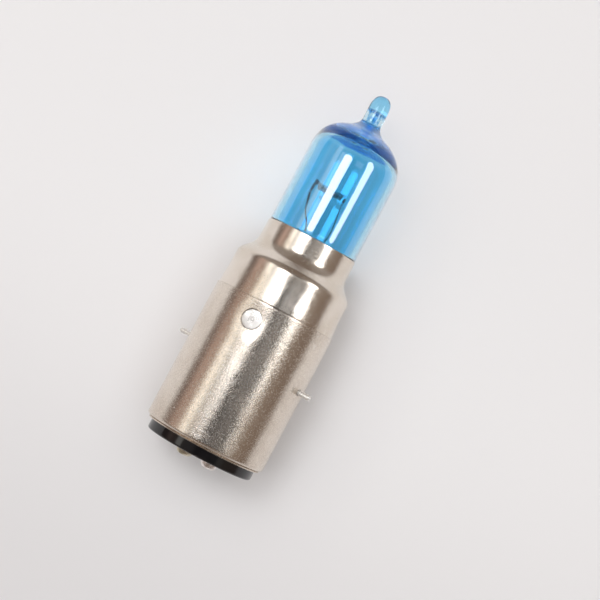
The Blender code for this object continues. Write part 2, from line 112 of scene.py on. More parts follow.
CAVITY_FLOOR = (31.0 * MM, 4.9 * MM)
CAVITY_HAUNCH_X = 32.6 * MM
CAVITY_DOME_X = 50.6 * MM
CAVITY_DOME_HEIGHT = 3.9 * MM
CAVITY_DOME_FULLNESS = 2.6
CAVITY_DOME_END_RADIUS = 0.9 * MM
THROAT_RADIUS = 0.42 * MM
THROAT_CORNER_X = 54.6 * MM
THROAT_X = (55.2 * MM, 56.4 * MM)
CHANNEL_X = (57.2 * MM, 57.3 * MM)
CHANNEL_RADIUS = 1.08 * MM
CHANNEL_CROWN_X = 59.4 * MM
CHANNEL_CROWN_HEIGHT = 0.3 * MM
PINCH_X = (17.5 * MM, 30.0 * MM)
PINCH_WIDTH = 11.6 * MM
PINCH_THICKNESS = 3.4 * MM
LEAD_HOLE_X = (16.5 * MM, 32.0 * MM)
LEAD_HOLE_RADIUS = 0.55 * MM
LEAD_SPACING = 3.2 * MM

# Zones of the coating along the glass, with a painted highlight and a painted shade among them. A
# pair of X is where a change starts and is complete: the first pair is where the zone begins, and
# a second one is where it ends.
# Painted highlight: a paler band of coat just under the crown stands in for a light haze.
HAZE_HIGHLIGHT_ZONE = ((53.7 * MM, 54.3 * MM), (54.5 * MM, 55.0 * MM))
DEEP_COAT = ((54.9 * MM, 55.8 * MM), (56.9 * MM, 57.5 * MM))
TUBE_COAT = (57.2 * MM, 57.7 * MM)
# Painted shade: a dark line of coat round the tip's waist.
WAIST_SHADE_ZONE = ((59.5 * MM, 59.62 * MM), (59.66 * MM, 59.78 * MM))
BALL_COAT = (59.6 * MM, 59.8 * MM)
COAT_WAVER = 1.6 * MM

PIN_ANGLE = math.radians(-66)
PIN_X = 15.6 * MM
PIN_RADIUS = 0.45 * MM
PIN_REACH = {"right": 12.2 * MM, "left": 12.9 * MM}
PIN_ROUND = 0.32 * MM
PIN_HEAD_REACH = (8.85 * MM, 9.2 * MM)
PIN_HEAD_RADIUS = 0.9 * MM
PIN_HOLE_GAP = 0.1 * MM
TACK_X = 22.05 * MM
TACK_ANGLES = [math.radians(14 + 120 * i) for i in range(3)]
TACK_HOLE_RADIUS = 1.65 * MM
TACK_GAP = 0.07 * MM
TACK_BACK = 9.35 * MM
TACK_LUMPY_FROM = 9.5 * MM
TACK_EDGE = 9.65 * MM
TACK_CROWN = 0.09 * MM
TACK_LUMP = 0.045 * MM
DISH_RADIUS = 3.6 * MM
DISH_DEPTH = 0.12 * MM

FILAMENT_X = 45.4 * MM
BEAMS = {"high_beam": 1.2 * MM, "low_beam": -1.6 * MM}
COIL_Y = (3.2 * MM, -0.95 * MM)
COIL_RADIUS = 0.38 * MM
COIL_WIRE_RADIUS = 0.07 * MM
COIL_TURNS = 16
COIL_STEPS_PER_TURN = 20
COIL_LEG = 0.45 * MM
COIL_SAG = 0.08 * MM
COMMON_Y = -1.45 * MM
BRIDGE_X = 44.35 * MM
LEAD_RADIUS = 0.11 * MM
LEAD_STRAIGHT_X = (15.5 * MM, 24.0 * MM, 31.4 * MM)
LEAD_STEPS = 12
HOOKS = {"left": (45.8 * MM, 3.7 * MM), "right": (45.1 * MM, COMMON_Y)}

INSULATOR_X = reach("insulator", 0)
INSULATOR_RADIUS = reach("insulator", 2)[1]
CONTACT_OFFSET = 2.35 * MM
CONTACT_HOLE_RADIUS = 1.0 * MM
BEAD_BASE_X = -0.08 * MM

FLOOR_SIZE = 8.0
FLOOR_MIDDLE_X = 0.03
LIGHT_COLOUR = (0.965, 0.98, 1.0)
CAMERA_LENS = 100.0
CAMERA_PLACE = (19.03 * MM, -2.66 * MM, 258.3 * MM)
CAMERA_TILT = 0.036
CAMERA_ROLL = 0.490


# ---- node helpers ----------------------------------------------------------------------------

def add(tree, kind, inputs=None, **settings):
    """Add a node; an input that is itself a socket is linked, any other value is set."""
    made = tree.nodes.new("ShaderNode" + kind)
    for key, value in settings.items():
        setattr(made, key, value)
    for key, value in (inputs or {}).items():
        if isinstance(value, bpy.types.NodeSocket):
            tree.links.new(value, made.inputs[key])
        else:
            made.inputs[key].default_value = value
    return made


def maths(tree, operation, first, second=0.0, third=0.0, clamp=False):
    inputs = {0: first, 1: second, 2: third}
    return add(tree, "Math", inputs, operation=operation, use_clamp=clamp).outputs[0]


def between(tree, value, low, high, to_low=0.0, to_high=1.0):
    """Map a value from one range to another with soft ends."""
    inputs = {"Value": value, "From Min": low, "From Max": high,
              "To Min": to_low, "To Max": to_high}
    made = add(tree, "MapRange", inputs, interpolation_type="SMOOTHSTEP")
    return made.outputs["Result"]


def blend(tree, factor, first, second):
    made = add(tree, "Mix", {"Factor": factor}, data_type="RGBA")
    for index, value in ((6, first), (7, second)):
        if isinstance(value, bpy.types.NodeSocket):
            tree.links.new(value, made.inputs[index])
        else:
            made.inputs[index].default_value = (*value, 1.0)
    return made.outputs[2]


def over(tree, mask, strength, colour, below):
    """Lay a colour over another where a mask is high."""
    return blend(tree, maths(tree, "MULTIPLY", mask, strength), below, colour)


def place(tree, stretch=(1, 1, 1), turn=(0, 0, 0)):
    """Object coordinates, stretched so that a pattern follows the piece."""
    coords = add(tree, "TexCoord").outputs["Object"]
    mapping = add(tree, "Mapping", {"Vector": coords, "Scale": stretch, "Rotation": turn})
    return mapping.outputs["Vector"]


def cloud(tree, scale, detail=2.0, vector=None):
    """Soft noise between 0 and 1."""
    inputs = {"Vector": vector or place(tree), "Scale": scale, "Detail": detail}
    made = add(tree, "TexNoise", inputs)
    return made.outputs["Factor"] if "Factor" in made.outputs else made.outputs["Fac"]


def zone(tree, start_value, start, end_value, end):
    """1 in a zone that starts as one value crosses a pair of marks and ends as another does."""
    return maths(tree, "MULTIPLY", between(tree, start_value, *start),
                 between(tree, end_value, *end, 1.0, 0.0))


def bump(tree, height, depth, below=None):
    """Relief of a given depth in metres, on top of any relief below."""
    inputs = {"Height": height, "Distance": depth, "Strength": 1.0}
    if below:
        inputs["Normal"] = below
    return add(tree, "Bump", inputs).outputs["Normal"]


def new_material(name, **sockets):
    """A material and its shader; _ stands for a space in a socket's name."""
    mat = bpy.data.materials.new(name)
    mat.use_nodes = True
    shader = mat.node_tree.nodes["Principled BSDF"]
    for key, value in sockets.items():
        shader.inputs[key.replace("_", " ")].default_value = value
    return mat, mat.node_tree, shader


def plug(tree, shader, **sockets):
    for key, value in sockets.items():
        tree.links.new(value, shader.inputs[key.replace("_", " ")])


def scratch_lines(tree, stretch, turn, scale, width):
    """Thin broken lines: the narrow band where a stretched noise crosses its middle value."""
    field = cloud(tree, scale, 1.0, place(tree, stretch, turn))
    off_middle = maths(tree, "ABSOLUTE", maths(tree, "SUBTRACT", field, 0.5))
    line = between(tree, off_middle, 0.0, width, 1.0, 0.0)
    gaps = between(tree, cloud(tree, 260.0, 1.0), 0.54, 0.60)
    return maths(tree, "MULTIPLY", line, gaps)


def specks(tree, scale, size, share):
    """Scattered small spots: cells of a Voronoi pattern, of which only a share is kept."""
    cells = add(tree, "TexVoronoi", {"Vector": place(tree), "Scale": scale})
    spot = between(tree, cells.outputs["Distance"], size * 0.6, size, 1.0, 0.0)
    lot = add(tree, "SeparateColor", {"Color": cells.outputs["Color"]}).outputs["Red"]
    kept = maths(tree, "LESS_THAN", lot, share)
    return maths(tree, "MULTIPLY", spot, kept)


# ---- materials -------------------------------------------------------------------------------

def nickel(name, bright, stained, base_roughness, grain_depth, wear_and_glints):
    """Nickel plate: stains, sandy grain, fine hoops, scratches, dark pits, painted glints as
    bright specks, dust.
    """
    mat, tree, shader = new_material(name, Metallic=1.0)
    stains = between(tree, cloud(tree, 190.0, 4.0), 0.38, 0.66)
    grain = cloud(tree, 7000.0, 2.0)
    mottle = cloud(tree, 1500.0, 4.0)
    hoops = cloud(tree, 1.0, 2.0, place(tree, (3400.0, 60.0, 60.0)))
    lengthwise = scratch_lines(tree, (0.12, 1.0, 1.0), (0.0, 0.25, 0.1), 900.0, 0.010)
    crosswise = scratch_lines(tree, (1.0, 0.16, 0.16), (0.2, 0.0, 0.5), 700.0, 0.008)
    scratches = maths(tree, "MAXIMUM", lengthwise, crosswise)
    pits = specks(tree, 6800.0, 0.50, 0.40)
    sparkle = specks(tree, 6100.0, 0.46, 0.30)
    dust = specks(tree, 620.0, 0.085, 0.20)
    tint = blend(tree, stains, bright, stained)
    tint = over(tree, between(tree, grain, 0.40, 0.66), 0.30 * wear_and_glints, (0.48, 0.42, 0.37), tint)
    tint = over(tree, scratches, 0.45, (0.93, 0.90, 0.86), tint)
    tint = over(tree, pits, 0.36 * wear_and_glints, (0.26, 0.21, 0.18), tint)
    # Painted glints: pale specks laid into the colour.
    tint = over(tree, sparkle, 0.40 * wear_and_glints, (0.97, 0.95, 0.92), tint)
    tint = blend(tree, dust, tint, (0.92, 0.90, 0.88))
    rough = between(tree, mottle, 0.30, 0.70, base_roughness * 0.85, base_roughness * 1.2)
    rough = maths(tree, "ADD", rough, maths(tree, "MULTIPLY", stains, base_roughness * 0.35))
    rough = maths(tree, "ADD", rough, maths(tree, "MULTIPLY", sparkle, 0.12 * wear_and_glints))
    rough = maths(tree, "ADD", rough, maths(tree, "MULTIPLY", dust, 0.5), clamp=True)
    relief = bump(tree, grain, grain_depth)
    relief = bump(tree, hoops, grain_depth * 0.03, relief)
    relief = bump(tree, scratches, -grain_depth * 0.08, relief)
    plug(tree, shader, Base_Color=tint, Roughness=rough, Normal=relief)
    return mat


def blue_glass():
    """Clear glass under a blue dichroic coating, thick and deep blue where it ran on the crown."""
    mat, tree, shader = new_material("blue_glass", IOR=1.5, Specular_IOR_Level=1.0,
                                     Coat_IOR=1.8, Coat_Roughness=0.025)
    facing = add(tree, "LayerWeight", {"Blend": 0.5}).outputs["Facing"]
    spot = add(tree, "SeparateXYZ", {"Vector": place(tree)}).outputs
    squares = [maths(tree, "POWER", spot[axis], 2.0) for axis in ("Y", "Z")]
    off_axis = maths(tree, "SQRT", maths(tree, "ADD", *squares))
    outside = between(tree, off_axis, 6.6 * MM, 7.2 * MM)
    wavering_x = maths(tree, "MULTIPLY_ADD", cloud(tree, 260.0, 2.0), COAT_WAVER, spot["X"])
    crown = zone(tree, wavering_x, DEEP_COAT[0], spot["X"], DEEP_COAT[1])
    # Painted highlight: the paler band of coat under the crown.
    painted_haze_highlight = zone(tree, wavering_x, HAZE_HIGHLIGHT_ZONE[0], wavering_x, HAZE_HIGHLIGHT_ZONE[1])
    ring = zone(tree, spot["X"], WAIST_SHADE_ZONE[0], spot["X"], WAIST_SHADE_ZONE[1])
    runs = between(tree, cloud(tree, 1100.0, 2.0), 0.55, 0.62)
    patches = between(tree, cloud(tree, 120.0, 3.0), 0.35, 0.7)
    coat = blend(tree, patches, (0.29, 0.745, 0.985), (0.345, 0.775, 0.99))
    coat = blend(tree, between(tree, facing, 0.42, 0.88), coat, (0.76, 0.82, 1.0))
    coat = over(tree, painted_haze_highlight, 0.7, (0.66, 0.89, 1.0), coat)
    streaked = blend(tree, runs, (0.66, 0.88, 0.98), (0.06, 0.34, 0.78))
    coat = blend(tree, between(tree, spot["X"], *TUBE_COAT), coat, streaked)
    rounded = blend(tree, between(tree, facing, 0.3, 0.8), (0.30, 0.72, 0.97), (0.10, 0.46, 0.88))
    coat = blend(tree, between(tree, spot["X"], *BALL_COAT), coat, rounded)
    # Painted shade: the dark line round the tip's waist.
    coat = blend(tree, ring, coat, (0.02, 0.12, 0.40))
    deep = blend(tree, between(tree, facing, 0.30, 0.85), (0.015, 0.31, 0.92), (0.44, 0.64, 0.98))
    coat = blend(tree, crown, coat, deep)
    dust = specks(tree, 420.0, 0.06, 0.12)
    coat = over(tree, dust, 0.6, (0.85, 0.90, 0.97), coat)
    clear = maths(tree, "SUBTRACT", 1.0, maths(tree, "MULTIPLY", crown, 0.55))
    rough = maths(tree, "ADD", maths(tree, "MULTIPLY", dust, 0.25), 0.004)
    waves = cloud(tree, 160.0, 1.0, place(tree, (0.35, 1.0, 1.0)))
    plug(tree, shader, Base_Color=coat, Roughness=rough, Normal=bump(tree, waves, 0.02 * MM),
         Transmission_Weight=clear, Coat_Weight=outside)
    return mat


def black_vitrite():
    """Glossy black glass with a slightly rippled, dusty surface."""
    mat, tree, shader = new_material("black_insulator", Specular_IOR_Level=0.6)
    haze = between(tree, cloud(tree, 260.0, 4.0), 0.45, 0.75)
    dust = specks(tree, 900.0, 0.09, 0.22)
    tint = blend(tree, haze, (0.0035, 0.003, 0.0035), (0.010, 0.008, 0.009))
    tint = blend(tree, dust, tint, (0.16, 0.15, 0.15))
    rough = maths(tree, "ADD", between(tree, haze, 0.0, 1.0, 0.07, 0.20),
                  maths(tree, "MULTIPLY", dust, 0.4), clamp=True)
    ripple = bump(tree, cloud(tree, 700.0, 3.0), 0.012 * MM)
    plug(tree, shader, Base_Color=tint, Roughness=rough, Normal=ripple)
    return mat


def metal(name, bright, dull, roughness, scale, depth, metallic=1.0):
    """Bare metal whose polish and colour vary in soft patches over a fine grain."""
    mat, tree, shader = new_material(name, Metallic=metallic)
    patches = between(tree, cloud(tree, scale, 4.0), 0.36, 0.66)
    grain = cloud(tree, scale * 6.0, 3.0)
    tint = blend(tree, patches, bright, dull)
    rough = between(tree, patches, 0.0, 1.0, roughness * 0.7, roughness * 1.4)
    relief = bump(tree, grain, depth * 0.3, bump(tree, cloud(tree, scale, 2.0), depth))
    plug(tree, shader, Base_Color=tint, Roughness=rough, Normal=relief)
    return mat


def drawn_wire(name, bright, dull, roughness):
    """Drawn wire: dark oxide patches between lengthwise draw marks."""
    mat, tree, shader = new_material(name, Metallic=1.0)
    marks = cloud(tree, 1.0, 2.0, place(tree, (300.0, 6000.0, 6000.0)))
    oxide = between(tree, cloud(tree, 900.0, 3.0), 0.4, 0.65)
    tint = blend(tree, oxide, bright, dull)
    rough = between(tree, marks, 0.3, 0.7, roughness * 0.8, roughness * 1.3)
    plug(tree, shader, Base_Color=tint, Roughness=rough, Normal=bump(tree, marks, 0.003 * MM))
    return mat


def cement():
    """Matt capping cement, pale and pitted."""
    mat, tree, shader = new_material("cement", Specular_IOR_Level=0.2)
    lumps = cloud(tree, 900.0, 5.0)
    tint = blend(tree, between(tree, lumps, 0.35, 0.7), (0.58, 0.53, 0.45), (0.78, 0.74, 0.66))
    rough = between(tree, lumps, 0.3, 0.7, 0.85, 0.97)
    relief = bump(tree, lumps, 0.08 * MM)
    plug(tree, shader, Base_Color=tint, Roughness=rough, Normal=relief)
    return mat


def pale_floor():
    """Matt off-white table, with a little painted shade past the bulb's base."""
    mat, tree, shader = new_material("pale_floor", Specular_IOR_Level=0.15)
    mottle = cloud(tree, 9.0, 3.0)
    lengthwise = add(tree, "SeparateXYZ", {"Vector": place(tree)}).outputs["X"]
    # Painted shade: the floor is coloured darker past the bulb's base end.
    painted_shade_past_base = between(tree, lengthwise, -0.075, 0.0)
    tint = blend(tree, mottle, (0.86, 0.853, 0.857), (0.88, 0.873, 0.877))
    tint = blend(tree, painted_shade_past_base, (0.745, 0.735, 0.74), tint)
    rough = between(tree, mottle, 0.0, 1.0, 0.6, 0.75)
    plug(tree, shader, Base_Color=tint, Roughness=rough)
    return mat


# ---- outlines --------------------------------------------------------------------------------

def arc(centre_x, centre_r, radius, start, end, steps=8):
    """Points of a circle's arc, from a start to an end angle in degrees."""
    angles = [math.radians(start + (end - start) * i / steps) for i in range(steps + 1)]
    return [(centre_x + radius * math.cos(a), centre_r + radius * math.sin(a)) for a in angles]


def dome(start_x, radius, height, fullness, end_angle, steps=40):
    """Quarter of a rounded-off ellipse, from its widest ring towards the axis."""
    power = 2.0 / fullness
    points = []
    for i in range(steps + 1):
        angle = math.pi / 2 + (end_angle - math.pi / 2) * i / steps
        x = start_x + height * max(math.cos(angle), 0.0) ** power
        points.append((x, radius * math.sin(angle) ** power))
    return points


def bend(first, corner, last, steps=12):
    """Points strictly between first and last on the curve that the corner pulls on."""
    points = []
    for i in range(1, steps):
        t = i / steps
        weights = ((1 - t) ** 2, 2 * t * (1 - t), t ** 2)
        columns = zip(first, corner, last)
        points.append(tuple(sum(w * v for w, v in zip(weights, column)) for column in columns))
    return points


def refined(outline, longest):
    """Split long straight stretches, so that a warp has points to move."""
    fine = []
    for (x0, r0), (x1, r1) in zip(outline, outline[1:] + outline[:1]):
        fine.append((x0, r0))
        if max(r0, r1) > 0:
            steps = max(1, math.ceil(math.hypot(x1 - x0, r1 - r0) / longest))
            for i in range(1, steps):
                fine.append((x0 + (x1 - x0) * i / steps, r0 + (r1 - r0) * i / steps))
    return fine


# ---- mesh builders ---------------------------------------------------------------------------

def around(angle):
    """Unit vector at right angles to X, turned from +Z towards +Y."""
    return Vector((0.0, math.sin(angle), math.cos(angle)))


def shade(mesh):
    mesh.shade_smooth()
    mesh.set_sharp_from_angle(angle=SHARP_ANGLE)


def finish_mesh(name, bm):
    mesh = bpy.data.meshes.new(name)
    bmesh.ops.recalc_face_normals(bm, faces=bm.faces)
    bm.to_mesh(mesh)
    bm.free()
    shade(mesh)
    obj = bpy.data.objects.new(name, mesh)
    bpy.context.scene.collection.objects.link(obj)
    return obj


def turned(name, outline, segments, warp=None):
    """Turn a closed outline about X. A warp gives each point's own (x, radius)."""
    bm = bmesh.new()
    rings = []
    for x, r in outline:
        if r <= 0:
            rings.append([bm.verts.new((x, 0.0, 0.0))])
            continue
        ring = []
        for j in range(segments):
            angle = 2 * math.pi * j / segments
            wx, wr = warp(x, r, angle) if warp else (x, r)
            ring.append(bm.verts.new(Vector((wx, 0.0, 0.0)) + wr * around(angle)))
        rings.append(ring)
    for near, far in zip(rings, rings[1:] + rings[:1]):
        if len(near) == 1 and len(far) == 1:
            continue
        for j in range(segments):
            k = (j + 1) % segments
            corners = [near[j % len(near)], near[k % len(near)],
                       far[k % len(far)], far[j % len(far)]]
            bm.faces.new(list(dict.fromkeys(corners)))
    return finish_mesh(name, bm)


def rod(name, start_x, end_x, radius, segments=64):
    outline = [(start_x, 0.0), (start_x, radius), (end_x, radius), (end_x, 0.0)]
    return turned(name, outline, segments)


def aim(obj, spot, direction):
    """Move a piece turned about X into place, pointing along a direction."""
    turn = Vector((1, 0, 0)).rotation_difference(Vector(direction)).to_matrix().to_4x4()
    obj.data.transform(Matrix.Translation(spot) @ turn)
    return obj


def combine(obj, tool, operation="DIFFERENCE"):
    """Cut a tool out of a piece, or join it on, and drop the tool."""
    modifier = obj.modifiers.new("cut", "BOOLEAN")
    modifier.operation = operation
    modifier.solver = "EXACT"
    modifier.object = tool
    bpy.context.view_layer.update()
    graph = bpy.context.evaluated_depsgraph_get()
    mesh = bpy.data.meshes.new_from_object(obj.evaluated_get(graph))
    obj.modifiers.clear()
    obj.data = mesh
    shade(mesh)
    bpy.data.objects.remove(tool, do_unlink=True)


def smooth_route(points, steps):
    """Points of a Catmull-Rom curve through a wire's few bends."""
    knots = [Vector(p) for p in points]
    knots = [2 * knots[0] - knots[1]] + knots + [2 * knots[-1] - knots[-2]]
    route = []
    for a, b, c, d in zip(knots, knots[1:], knots[2:], knots[3:]):
        for i in range(steps):
            t = i / steps
            value = 2 * b + (c - a) * t + (2 * a - 5 * b + 4 * c - d) * t ** 2
            route.append((value + (3 * b - a - 3 * c + d) * t ** 3) / 2)
    return route + [knots[-2]]


def wire(name, route, radius, resolution=4):
    """A round wire along a route, as a mesh with closed ends."""
    curve = bpy.data.curves.new(name, "CURVE")
    curve.dimensions = "3D"
    curve.bevel_depth = radius
    curve.bevel_resolution = resolution
    curve.use_fill_caps = True
    spline = curve.splines.new("POLY")
    spline.points.add(len(route) - 1)
    for point, spot in zip(spline.points, route):
        point.co = (*spot, 1.0)
    carrier = bpy.data.objects.new(name, curve)
    bpy.context.scene.collection.objects.link(carrier)
    bpy.context.view_layer.update()
    graph = bpy.context.evaluated_depsgraph_get()
    mesh = bpy.data.meshes.new_from_object(carrier.evaluated_get(graph))
    bpy.data.objects.remove(carrier, do_unlink=True)
    bm = bmesh.new()
    bm.from_mesh(mesh)
    bmesh.ops.remove_doubles(bm, verts=bm.verts, dist=0.0001 * MM)
    return finish_mesh(name, bm)


def show(obj, material, slot, *nodes):
    """Give a piece its material and let it stand for CAD nodes."""
    obj.data.materials.clear()
    obj.data.materials.append(material)
    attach(obj, BODY)
    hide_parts(*nodes)
    return obj


def ripple(x, angle, scale, depth, seed):
    """A smooth inward dimpling between 0 and depth."""
    spread = 1.6
    spot = Vector((x * scale, math.sin(angle) * spread + seed, math.cos(angle) * spread - seed))
    return depth * 0.5 * (noise.noise(spot) - 1.0)


# ---- base ------------------------------------------------------------------------------------

def from_tack(x, angle):
    """Distance over the sleeve's surface to the nearest solder window."""
    spans = []
    for middle in TACK_ANGLES:
        turn = (angle - middle + math.pi) % (2 * math.pi) - math.pi
        spans.append(math.hypot(x - TACK_X, turn * SLEEVE_RADIUS))
    return min(spans)


def sleeve_warp(x, r, angle):
    """Dish the wall where it was pressed in for soldering, and let it be slightly uneven."""
    dish = max(0.0, 1.0 - (from_tack(x, angle) / DISH_RADIUS) ** 2) ** 2
    uneven = ripple(x, angle, scale=70.0, depth=0.022 * MM, seed=3.0)
    return x, r - DISH_DEPTH * dish + uneven


def sleeve_outline():
    """Bead, corner, long outside with its faint groove, top edge, bore and inner lip."""
    start, end = SLEEVE_X
    bore = SLEEVE_RADIUS - SLEEVE_WALL
    lip_top = start + SLEEVE_LIP_WALL
    bead = [(start + x, SLEEVE_RADIUS - drop) for x, drop in LIP_SHAPE]
    groove = [(GROOVE_X + GROOVE_STEP * i, SLEEVE_RADIUS - GROOVE_DEPTH * (1 - abs(i) / 3))
              for i in range(-3, 4)]
    return [
        *bead, *arc(start + CORNER_X, SLEEVE_RADIUS - CORNER_ROUND, CORNER_ROUND, 180, 90, 12),
        *groove, *arc(end - SEAM_EDGE, SLEEVE_RADIUS - SEAM_EDGE, SEAM_EDGE, 90, 0, 4),
        (end, bore), (lip_top, bore), (lip_top, SLEEVE_LIP_RADIUS), (start, SLEEVE_LIP_RADIUS)]


def make_sleeve(material):
    outline = refined(sleeve_outline(), SURFACE_STEP)
    sleeve = turned("bayonet_sleeve", outline, 288, sleeve_warp)
    through = (SLEEVE_LIP_RADIUS, SLEEVE_RADIUS + MM)
    for angle in (PIN_ANGLE, PIN_ANGLE + math.pi):
        hole = rod("hole", *through, PIN_RADIUS + PIN_HOLE_GAP)
        combine(sleeve, aim(hole, (PIN_X, 0, 0), around(angle)))
    for angle in TACK_ANGLES:
        hole = rod("hole", *through, TACK_HOLE_RADIUS, 96)
        combine(sleeve, aim(hole, (TACK_X, 0, 0), around(angle)))
    show(sleeve, material, "nickel_plate", "base_sleeve")


def make_pins(material):
    """Round-ended pins with a flat head inside the sleeve."""
    inner, outer = PIN_HEAD_REACH
    for side, angle in (("right", PIN_ANGLE), ("left", PIN_ANGLE + math.pi)):
        tip = PIN_REACH[side]
        outline = [
            (inner, 0.0), (inner, PIN_HEAD_RADIUS), (outer, PIN_HEAD_RADIUS), (outer, PIN_RADIUS),
            *arc(tip - PIN_ROUND, PIN_RADIUS - PIN_ROUND, PIN_ROUND, 90, 8, 10), (tip, 0.0)]
        pin = turned(f"pin_{side}", refined(outline, 0.15 * MM), 48)
        aim(pin, (PIN_X, 0, 0), around(angle))
        show(pin, material, "nickel_plate", f"bayonet_pin_{side}")


def tack_warp(seed):
    """A warp that leaves a window's solder lumpy and slightly sunken."""
    scale = 600.0

    def warp(x, r, turn):
        spot = Vector((r * scale * math.cos(turn), r * scale * math.sin(turn), seed))
        weight = 1.0 if x > TACK_LUMPY_FROM else 0.0
        return x + weight * TACK_LUMP * (noise.noise(spot) - 0.35), r
    return warp


def make_tacks(material):
    """Solder that wetted the window, with a low crown."""
    for index, angle in enumerate(TACK_ANGLES):
        crown = dome(TACK_EDGE, TACK_HOLE_RADIUS - TACK_GAP, TACK_CROWN, 4.0, 0.0, 24)
        outline = [
            (TACK_BACK, 0.0), (TACK_BACK, crown[0][1]), *crown[:-1], (crown[-1][0], 0.0)]
        warp = tack_warp(index * 7.3 + 1.0)
        tack = turned(f"window_solder_{index + 1}", refined(outline, 0.1 * MM), 72, warp)
        aim(tack, (TACK_X, 0, 0), around(angle))
        show(tack, material, "solder", f"solder_tack_{index + 1}")


def cap_outline():
    """Skirt, seam edge, taper, round shoulder, fillet and neck, then back down the inside.

    A straight stretch at 45 degrees joins the shoulder to the fillet.
    """
    slope = math.sin(math.radians(45))
    neck_centre = CAP_NECK_RADIUS + CAP_FILLET_ROUND
    shoulder_centre = CAP_RADIUS - CAP_SHOULDER_ROUND
    rise = neck_centre - slope * CAP_FILLET_ROUND
    drop = shoulder_centre + slope * CAP_SHOULDER_ROUND - rise
    fillet_x = CAP_SHOULDER_X + slope * (CAP_SHOULDER_ROUND + CAP_FILLET_ROUND) + drop
    bore = CAP_NECK_RADIUS - CAP_WALL
    skirt_bore = CAP_SKIRT_RADIUS - CAP_WALL
    start, rim = CAP_X
    return [
        (start, CAP_SKIRT_RADIUS), (CAP_SEAM_X, CAP_SKIRT_RADIUS),
        *arc(CAP_SEAM_X + SEAM_EDGE, CAP_SEAM_RADIUS - SEAM_EDGE, SEAM_EDGE, 180, 90, 4),
        *bend(*zip(CAP_TAPER_X, (CAP_SEAM_RADIUS, CAP_RADIUS, CAP_RADIUS))),
        *arc(CAP_SHOULDER_X, shoulder_centre, CAP_SHOULDER_ROUND, 90, 45, 10),
        *arc(fillet_x, neck_centre, CAP_FILLET_ROUND, 225, 270, 16),
        *arc(rim - RIM_EDGE, CAP_NECK_RADIUS - RIM_EDGE, RIM_EDGE, 90, 0, 4),
        *arc(rim - RIM_EDGE, bore + RIM_EDGE, RIM_EDGE, 0, -90, 4),
        *arc(fillet_x, neck_centre, CAP_FILLET_ROUND + CAP_WALL, 270, 225, 12),
        *arc(CAP_SHOULDER_X, shoulder_centre, CAP_SHOULDER_ROUND - CAP_WALL, 45, 90, 8),
        (CAP_SEAM_X + CAP_WALL, CAP_RADIUS - CAP_WALL), (CAP_SEAM_X + CAP_WALL, skirt_bore),
        (start, skirt_bore)]


def make_cap(material):
    def warp(x, r, angle):
        return x, r + ripple(x, angle, scale=110.0, depth=0.035 * MM, seed=11.0)
    cap = turned("neck_collar", refined(cap_outline(), SURFACE_STEP), 288, warp)
    show(cap, material, "nickel_plate", "neck_cap")


def contact_places():
    """Centres of the two contacts, opposite each other on the line of the pins."""
    return {"low_beam": CONTACT_OFFSET * around(PIN_ANGLE),
            "high_beam": -CONTACT_OFFSET * around(PIN_ANGLE)}


def make_insulator(material):
    start, end = INSULATOR_X
    outer_edge, inner_edge = 0.35 * MM, 0.12 * MM

    def warp(x, r, angle):
        return x, r + ripple(x, angle, scale=300.0, depth=0.03 * MM, seed=5.0)
    outline = [
        (start, 0.0),
        *arc(start + outer_edge, INSULATOR_RADIUS - outer_edge, outer_edge, 180, 90, 10),
        *arc(end - inner_edge, INSULATOR_RADIUS - inner_edge, inner_edge, 90, 0, 4), (end, 0.0)]
    disc = turned("insulator_disc", refined(outline, 0.4 * MM), 192, warp)
    for spot in contact_places().values():
        hole = rod("hole", start - MM, end + MM, CONTACT_HOLE_RADIUS)
        combine(disc, aim(hole, spot, (1, 0, 0)))
    show(disc, material, "black_insulator", "insulator")


def contact_outlines():
    """The eyelet through the insulator, and the solder bead that fills it and stands outside."""
    flange, barrel, bore, roll = 1.2 * MM, 0.8 * MM, 0.5 * MM, 1.1 * MM
    face, seat, roll_start, roll_end = -0.3 * MM, -0.1 * MM, 4.8 * MM, 5.1 * MM
    eyelet = [
        (face, bore), (face, flange), (seat, flange), (seat, barrel), (roll_start, barrel),
        (roll_start, roll), (roll_end, roll), (roll_end, bore)]
    inside, core, over_flange = 0.5 * MM, 0.25 * MM, flange + 0.06 * MM
    under, base, tip, radius, flat = -0.34 * MM, BEAD_BASE_X, -1.38 * MM, 1.45 * MM, 0.45 * MM
    crown = bend((base, radius), (tip, radius), (tip, flat), 16)
    bead = [
        (inside, 0.0), (inside, core), (under, core), (under, over_flange), (base, over_flange),
        (base, radius), *crown, (tip, flat), (tip, 0.0)]
    return eyelet, bead


def bead_warp(seed):
    """A warp that makes the outside of a contact's solder bead lumpy."""
    scale, swelling, push = 900.0, 0.05, 0.8 * MM

    def warp(x, r, turn):
        spot = (x * scale + seed, r * scale * math.cos(turn), r * scale * math.sin(turn))
        swell = swelling * (noise.noise(Vector(spot)) - 0.6) if x <= BEAD_BASE_X else 0.0
        return x - swell * push, r * (1.0 + swell)
    return warp


def make_contacts(brass, solders):
    eyelet, bead = contact_outlines()
    for index, (beam, spot) in enumerate(contact_places().items()):
        ring = turned(f"eyelet_{beam}", refined(eyelet, 0.3 * MM), 64)
        show(aim(ring, spot, (1, 0, 0)), brass, "brass_contact", f"contact_eyelet_{beam}")
        warp = bead_warp(index * 5.1)
        drop = turned(f"contact_bead_{beam}", refined(bead, 0.12 * MM), 64, warp)
        show(aim(drop, spot, (1, 0, 0)), solders[beam], "solder", f"contact_solder_{beam}")


# ---- glass and wires -------------------------------------------------------------------------

